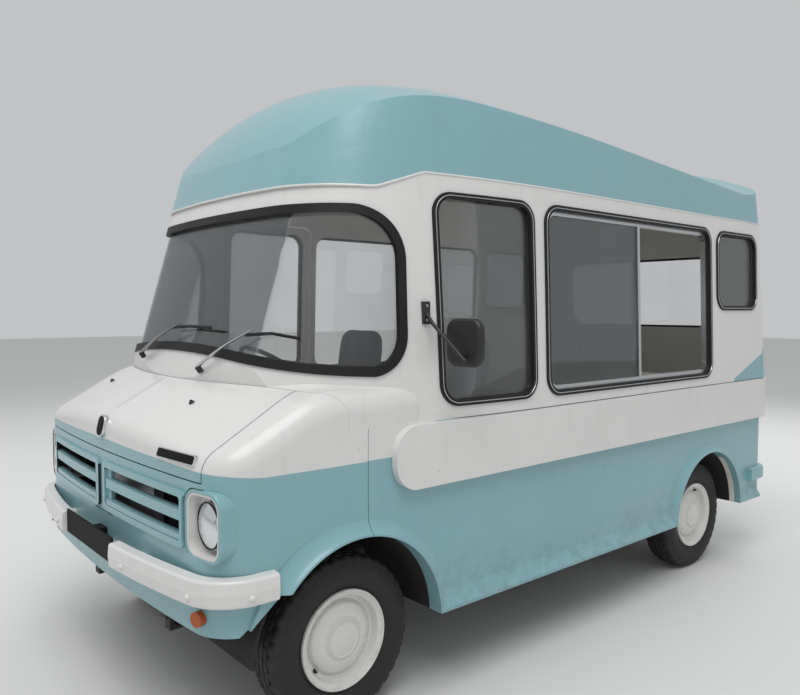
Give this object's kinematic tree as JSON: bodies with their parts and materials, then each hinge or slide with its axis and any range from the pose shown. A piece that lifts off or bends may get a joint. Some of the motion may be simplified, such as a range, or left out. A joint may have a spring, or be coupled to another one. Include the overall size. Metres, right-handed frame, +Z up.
{
  "type": "ice cream truck",
  "caption": "Small ice cream truck: rounded coach-built body with a sliding serving hatch on the kerb side, wrap-round windscreen, domed roof and a short sloping nose.",
  "frame": {"origin": "on the ground under the middle of the vehicle's overall box", "axes": "the nose faces -Y, +X is the vehicle's left (kerb) side, +Z is up"},
  "size_m": [2.384, 4.21, 2.6973],
  "materials": {
    "teal_moulding": "gloss",
    "cream_moulding": "gloss",
    "nose_paint": "gloss",
    "cream_paint": "gloss",
    "black_trim": "satin",
    "black_rubber": "matt",
    "window_glass": "clear",
    "lamp_glass": "clear",
    "amber_lens": "gloss",
    "red_lens": "gloss",
    "bright_frame": "satin",
    "mirror_black": "satin",
    "chassis_paint": "satin",
    "engine_block": "rough",
    "radiator_core": "satin",
    "exhaust_steel": "dull",
    "tank_plastic": "matt",
    "liner_black": "matt",
    "floor_grey": "matt",
    "interior_grey": "matt",
    "seat_cloth": "woven",
    "cabinet_cream": "satin",
    "wheel_paint": "gloss",
    "tyre": "matt",
    "plate_blank": "satin"
  },
  "bodies": {
    "body": {"body_windows": "window_glass", "cabinet": "cabinet_cream", "chassis_frame": "chassis_paint", "counter": "cabinet_cream", "dashboard": "interior_grey", "engine": "engine_block", "exhaust": "exhaust_steel", "floor": "floor_grey", "front_bumper": "cream_paint", "front_indicators": "amber_lens", "front_suspension": "chassis_paint", "front_valance": "nose_paint", "fuel_tank": "tank_plastic", "grille": "nose_paint", "headlamp_bezels": "cream_paint", "headlamps": "lamp_glass", "left_lower_side": "teal_moulding", "left_mirror": "mirror_black", "left_upper_side": "cream_moulding", "left_wing": "nose_paint", "number_plates": "plate_blank", "radiator": "radiator_core", "rear_axle": "chassis_paint", "rear_bumper": "teal_moulding", "rear_panel": "cream_moulding", "rear_springs": "chassis_paint", "right_lower_side": "teal_moulding", "right_upper_side": "cream_moulding", "right_wing": "nose_paint", "roof": "teal_moulding", "seat_bases": "interior_grey", "seats": "seat_cloth", "serving_frame": "bright_frame", "serving_panes": "window_glass", "steering_column": "interior_grey", "tail_lamps": "red_lens", "wheel_arch_liners": "liner_black", "window_seals": "black_rubber", "windscreen": "window_glass", "windscreen_surround": "cream_moulding", "wipers": "black_trim"},
    "bonnet": {"bonnet": "cream_paint"},
    "driver_door": {"driver_door": "cream_moulding", "door_window": "window_glass", "door_seal": "black_rubber", "right_mirror": "mirror_black"},
    "left_knuckle": {"left_knuckle": "chassis_paint"},
    "right_knuckle": {"right_knuckle": "chassis_paint"},
    "steering_wheel": {"steering_wheel": "interior_grey"},
    "front_left_wheel": {"front_left_rim": "wheel_paint", "front_left_tyre": "tyre"},
    "front_right_wheel": {"front_right_rim": "wheel_paint", "front_right_tyre": "tyre"},
    "rear_left_wheel": {"rear_left_rim": "wheel_paint", "rear_left_tyre": "tyre"},
    "rear_right_wheel": {"rear_right_rim": "wheel_paint", "rear_right_tyre": "tyre"}
  },
  "joints": [
    {"name": "bonnet_hinge", "type": "hinge", "parent": "body", "child": "bonnet", "pos_m": [0, -1.58, 1.42], "axis": [-1, 0, 0], "range_deg": [0, 50]},
    {"name": "driver_door_hinge", "type": "hinge", "parent": "body", "child": "driver_door", "pos_m": [-1.006, -1.0025, 1.2], "axis": [0, 0, 1], "range_deg": [0, 65]},
    {"name": "steering_wheel_turn", "type": "hinge", "parent": "body", "child": "steering_wheel", "pos_m": [-0.38, -0.965, 1.28], "axis": [0, 0.5736, 0.8192], "range_deg": [-500, 500]},
    {"name": "left_steer", "type": "hinge", "parent": "body", "child": "left_knuckle", "pos_m": [0.735, -1.415, 0.325], "axis": [0, 0, 1], "range_deg": [-33, 33]},
    {"name": "right_steer", "type": "hinge", "parent": "body", "child": "right_knuckle", "pos_m": [-0.735, -1.415, 0.325], "axis": [0, 0, 1], "range_deg": [-33, 33]},
    {"name": "front_left_wheel_spin", "type": "hinge", "parent": "left_knuckle", "child": "front_left_wheel", "pos_m": [0.81, -1.415, 0.325], "axis": [1, 0, 0], "continuous": true},
    {"name": "front_right_wheel_spin", "type": "hinge", "parent": "right_knuckle", "child": "front_right_wheel", "pos_m": [-0.81, -1.415, 0.325], "axis": [1, 0, 0], "continuous": true},
    {"name": "rear_left_wheel_spin", "type": "hinge", "parent": "body", "child": "rear_left_wheel", "pos_m": [0.81, 1.277, 0.325], "axis": [1, 0, 0], "continuous": true},
    {"name": "rear_right_wheel_spin", "type": "hinge", "parent": "body", "child": "rear_right_wheel", "pos_m": [-0.81, 1.277, 0.325], "axis": [1, 0, 0], "continuous": true}
  ],
  "couplings": [
    {"joint": "right_steer", "follows": "left_steer", "ratio": 1},
    {"joint": "steering_wheel_turn", "follows": "left_steer", "ratio": 15}
  ]
}
